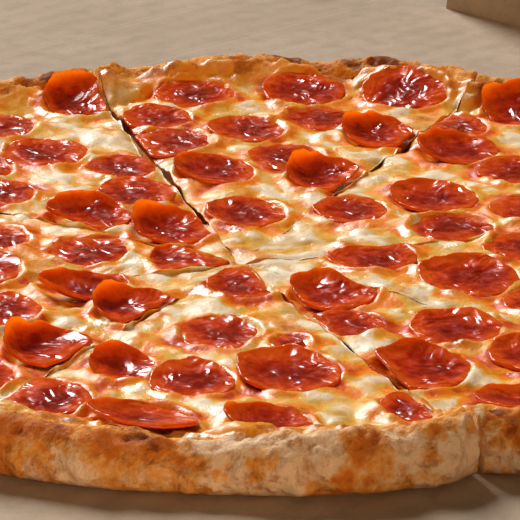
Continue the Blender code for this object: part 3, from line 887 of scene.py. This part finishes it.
class Paint:
    """Builds a material's nodes from a few short calls."""

    def __init__(self, name):
        self.material = bpy.data.materials.new(name)
        self.material.use_nodes = True
        self.tree = self.material.node_tree
        self.shader = self.tree.nodes["Principled BSDF"]
        self.place = self.node("ShaderNodeTexCoord").outputs["Object"]

    def node(self, kind, **settings):
        made = self.tree.nodes.new(kind)
        for key, value in settings.items():
            setattr(made, key, value)
        return made

    def link(self, source, target):
        """Feeds a socket from another one, or sets it to a number or a colour."""
        if isinstance(source, (int, float)):
            target.default_value = source
        elif isinstance(source, tuple):
            target.default_value = (*source, 1.0)
        else:
            self.tree.links.new(source, target)

    def noise(self, size_mm, detail=3.0, roughness=0.55, twist=0.0):
        made = self.node("ShaderNodeTexNoise")
        self.link(self.place, made.inputs["Vector"])
        made.inputs["Scale"].default_value = 1 / (size_mm * MM)
        made.inputs["Detail"].default_value = detail
        made.inputs["Roughness"].default_value = roughness
        made.inputs["Distortion"].default_value = twist
        return made.outputs["Fac"]

    def attribute(self, name):
        return self.node("ShaderNodeAttribute", attribute_name=name).outputs["Fac"]

    def span(self, value, low, high, to_low=0.0, to_high=1.0):
        """Eases from one number to another as the value goes from low to high."""
        made = self.node("ShaderNodeMapRange", interpolation_type="SMOOTHSTEP")
        self.link(value, made.inputs["Value"])
        made.inputs["From Min"].default_value = low
        made.inputs["From Max"].default_value = high
        made.inputs["To Min"].default_value = to_low
        made.inputs["To Max"].default_value = to_high
        return made.outputs["Result"]

    def math(self, operation, first, second):
        made = self.node("ShaderNodeMath", operation=operation)
        self.link(first, made.inputs[0])
        self.link(second, made.inputs[1])
        return made.outputs[0]

    def stirred(self, value, pattern, share):
        """The value, swung up and down by a pattern that runs from 0 to 1."""
        swing = self.math("SUBTRACT", pattern, 0.5)
        return self.math("ADD", value, self.math("MULTIPLY", swing, share))

    def mix(self, share, first, second):
        made = self.node("ShaderNodeMix", data_type="RGBA")
        self.link(share, made.inputs["Factor"])
        self.link(first, made.inputs["A"])
        self.link(second, made.inputs["B"])
        return made.outputs["Result"]

    def over(self, colour, value, low, high, cover, weight=1.0):
        """The colour, covered by another one as the value goes from low to high."""
        return self.mix(self.span(value, low, high, 0.0, weight), colour, cover)

    def bump(self, height, distance_mm, under=None):
        made = self.node("ShaderNodeBump")
        made.inputs["Distance"].default_value = distance_mm * MM
        self.link(height, made.inputs["Height"])
        if under is not None:
            self.link(under, made.inputs["Normal"])
        return made.outputs["Normal"]

    def soften(self, shine, depth, radius_mm):
        """Sets the strength of the shine, and how much and how far light spreads inside."""
        self.shader.inputs["Specular IOR Level"].default_value = shine
        self.shader.inputs["Subsurface Weight"].default_value = depth
        self.shader.inputs["Subsurface Radius"].default_value = [far * MM for far in radius_mm]
        self.shader.inputs["Subsurface Scale"].default_value = 1.0

    def finish(self, colour, rough, relief=None):
        self.link(colour, self.shader.inputs["Base Color"])
        self.link(rough, self.shader.inputs["Roughness"])
        if relief is not None:
            self.link(relief, self.shader.inputs["Normal"])
        return self.material


def crust_material():
    paint = Paint("baked_crust")
    broad = paint.noise(14, 4)
    fine = paint.noise(2.2, 5, 0.65)
    toast = paint.stirred(paint.attribute("toast"), fine, 0.75)
    toast = paint.stirred(toast, broad, 0.35)
    colour = paint.over(DOUGH, toast, 0.02, 0.28, BAKED)
    colour = paint.over(colour, toast, 0.24, 0.5, TOASTED)
    gilt = paint.over(GILT, fine, 0.4, 0.62, DEEP_GILT)
    colour = paint.over(colour, paint.attribute("inner"), 0.1, 0.7, gilt, 0.9)
    colour = paint.over(colour, toast, 0.52, 0.86, SCORCHED)
    pits = paint.span(paint.noise(4.5, 4, 0.6), 0.47, 0.74)
    pits = paint.math("MULTIPLY", pits, paint.span(paint.noise(18, 3), 0.35, 0.6))
    # Painted shade darkens the pits
    colour = paint.mix(paint.math("MULTIPLY", pits, 0.9), colour, PIT_SHADE)
    foot = paint.span(paint.attribute("height"), 0.5, 4.0, 0.6, 0.0)
    colour = paint.mix(foot, colour, CRUST_FOOT)
    relief = paint.bump(fine, 1.25)
    relief = paint.bump(broad, 1.0, relief)
    relief = paint.bump(paint.math("SUBTRACT", 1.0, pits), 0.45, relief)
    paint.soften(0.1, 0.12, (3.0, 1.4, 0.6))
    return paint.finish(colour, 0.65, relief)


def cheese_material():
    paint = Paint("melted_cheese")
    broad = paint.noise(15, 4, 0.58, 0.4)
    fine = paint.noise(1.6, 4, 0.6)
    specks = paint.noise(1.1, 2, 0.5)
    streaks = paint.noise(9, 5, 0.6, 1.4)
    hills = paint.attribute("hills")
    high = paint.stirred(hills, broad, 1.6)
    oil = paint.stirred(paint.attribute("oil"), streaks, 1.5)
    oil = paint.stirred(oil, hills, -0.7)
    brown = paint.stirred(paint.attribute("brown"), fine, 0.9)
    # Painted shade: the hollows between the hills are darker and yellower
    colour = paint.over(CHEESE_HOLLOW_SHADE, high, 0.25, 0.8, CHEESE_HILL)
    colour = paint.over(colour, oil, 0.05, 0.35, THIN_OIL)
    colour = paint.over(colour, oil, 0.35, 0.62, RED_OIL)
    colour = paint.over(colour, oil, 0.75, 1.1, DEEP_OIL)
    colour = paint.over(colour, brown, 0.15, 0.5, GOLD_CHEESE, 0.9)
    colour = paint.over(colour, brown, 0.55, 0.85, BROWN_CHEESE, 0.8)
    colour = paint.over(colour, brown, 0.95, 1.2, BURNT_CHEESE, 0.8)
    colour = paint.over(colour, specks, 0.69, 0.74, SPECK, 0.7)
    relief = paint.bump(fine, 0.15)
    relief = paint.bump(broad, 1.0, relief)
    paint.soften(0.34, 0.25, (4.0, 2.5, 1.2))
    return paint.finish(colour, paint.span(broad, 0.35, 0.65, 0.26, 0.48), relief)


def pepperoni_material():
    paint = Paint("cured_meat")
    rim = paint.attribute("rim")
    mottle = paint.noise(4.2, 4, 0.55)
    broad = paint.noise(11, 3)
    fine = paint.noise(1.2, 3)
    pools = paint.noise(9, 2, 0.5, 0.6)
    outward = paint.stirred(rim, broad, 1.6)
    edge = paint.stirred(paint.stirred(rim, broad, 0.9), mottle, 0.5)
    raised = paint.stirred(paint.stirred(paint.attribute("lift"), broad, 0.6), mottle, 0.5)
    # Painted shade darkens the middle of each cup
    middle = paint.over(MEAT_MIDDLE_SHADE[0], mottle, 0.3, 0.7, MEAT_MIDDLE_SHADE[1])
    outer = paint.over(MEAT_OUTER[0], mottle, 0.3, 0.7, MEAT_OUTER[1])
    colour = paint.over(middle, outward, 0.15, 0.75, outer)
    # The oily edge also holds a painted glow, and where the meat stands up the colour is a painted
    # glow of light shining through it
    colour = paint.over(colour, edge, 0.5, 1.05, MEAT_EDGE_OIL_AND_GLOW, 0.8)
    colour = paint.over(colour, raised, 0.25, 1.1, MEAT_PAINTED_GLOW, 0.9)
    colour = paint.over(colour, fine, 0.70, 0.78, MEAT_FAT, 0.25)
    relief = paint.bump(mottle, 0.09)
    relief = paint.bump(pools, 2.6, relief)
    # Light shines through where the meat stands up
    glow = paint.node("ShaderNodeBsdfTranslucent")
    paint.link(paint.over(MEAT_GLOW[0], raised, 0.45, 1.15, MEAT_GLOW[1]), glow.inputs["Color"])
    blend = paint.node("ShaderNodeMixShader")
    paint.link(paint.span(raised, 0.2, 1.25, 0.0, 0.8), blend.inputs[0])
    paint.link(paint.shader.outputs[0], blend.inputs[1])
    paint.link(glow.outputs[0], blend.inputs[2])
    paint.link(blend.outputs[0], paint.tree.nodes["Material Output"].inputs["Surface"])
    paint.soften(0.3, 0.35, (3.5, 1.0, 0.2))
    return paint.finish(colour, paint.span(mottle, 0.35, 0.7, 0.16, 0.32), relief)


def board_material():
    paint = Paint("kraft_board")
    fibres = paint.noise(1.6, 5, 0.7)
    clouds = paint.noise(60, 3)
    blots = paint.noise(9, 4, 0.62)
    flutes = paint.node("ShaderNodeTexWave", wave_type="BANDS", bands_direction="Y")
    paint.link(paint.place, flutes.inputs["Vector"])
    flutes.inputs["Scale"].default_value = 1 / (FLUTE_PITCH * MM) / math.tau
    flutes.inputs["Distortion"].default_value = 1.2
    flutes.inputs["Detail"].default_value = 1.0
    ripple = flutes.outputs["Fac"]
    colour = paint.over(KRAFT[0], clouds, 0.35, 0.65, KRAFT[1])
    colour = paint.over(colour, fibres, 0.35, 0.7, KRAFT_FIBRE, 0.5)
    colour = paint.over(colour, ripple, 0.0, 1.0, KRAFT_FLUTE, 0.12)
    colour = paint.over(colour, blots, 0.42, 0.68, KRAFT_BLOT, 0.5)
    relief = paint.bump(ripple, 0.12)
    relief = paint.bump(fibres, 0.12, relief)
    return paint.finish(colour, 0.85, relief)


def floor_material():
    return Paint("pale_floor").finish(FLOOR_COLOUR, 0.9)


# The room

def aim(item, target):
    item.rotation_mode = "QUATERNION"
    item.rotation_quaternion = (target - item.location).to_track_quat("-Z", "Y")


def make_camera():
    data = bpy.data.cameras.new("camera")
    data.lens = CAMERA_LENS
    data.sensor_width = CAMERA_SENSOR
    data.clip_start, data.clip_end = CAMERA_CLIP
    camera = bpy.data.objects.new("camera", data)
    bpy.context.scene.collection.objects.link(camera)
    camera.location = CAMERA_PLACE
    aim(camera, CAMERA_TARGET)
    bpy.context.scene.camera = camera


def make_light(name, bearing, elevation, width, strength, colour):
    """A far, soft light. Its bearing is from +X towards +Y."""
    data = bpy.data.lights.new(name, "SUN")
    data.angle = math.radians(width)
    data.energy = strength
    data.color = colour
    light = bpy.data.objects.new(name, data)
    bpy.context.scene.collection.objects.link(light)
    along, up = math.radians(bearing), math.radians(elevation)
    toward = Vector((*(unit(along) * math.cos(up)), math.sin(up)))
    light.location = LIT_SPOT + toward * LIGHT_DISTANCE
    aim(light, LIT_SPOT)


def make_room():
    bpy.ops.mesh.primitive_plane_add(size=FLOOR_SIZE, location=(0, 0, FLOOR_HEIGHT))
    floor = bpy.context.object
    floor.name = "floor"
    floor.data.materials.append(floor_material())
    world = bpy.data.worlds.new("studio")
    bpy.context.scene.world = world
    world.use_nodes = True
    background = world.node_tree.nodes["Background"]
    background.inputs["Color"].default_value = SKY_COLOUR
    background.inputs["Strength"].default_value = SKY_STRENGTH
    for light in LIGHTS:
        make_light(*light)
    bpy.context.scene.view_settings.view_transform = "Standard"


def main():
    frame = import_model()
    make_camera()
    make_room()
    board = board_material()
    for name in BOARD_PIECES:
        data = frame["nodes"][name].data
        data.materials.clear()
        data.materials.append(board)
    make_creases(board)
    crust, cheese, meat = crust_material(), cheese_material(), pepperoni_material()
    slices = [Slice(index) for index in range(len(CUT_ANGLES))]
    toppings = all_toppings(slices)
    for part in slices:
        make_crust(part, crust)
        make_cheese(part, toppings, cheese)
    for topping in toppings:
        make_pepperoni(topping, meat)


main()
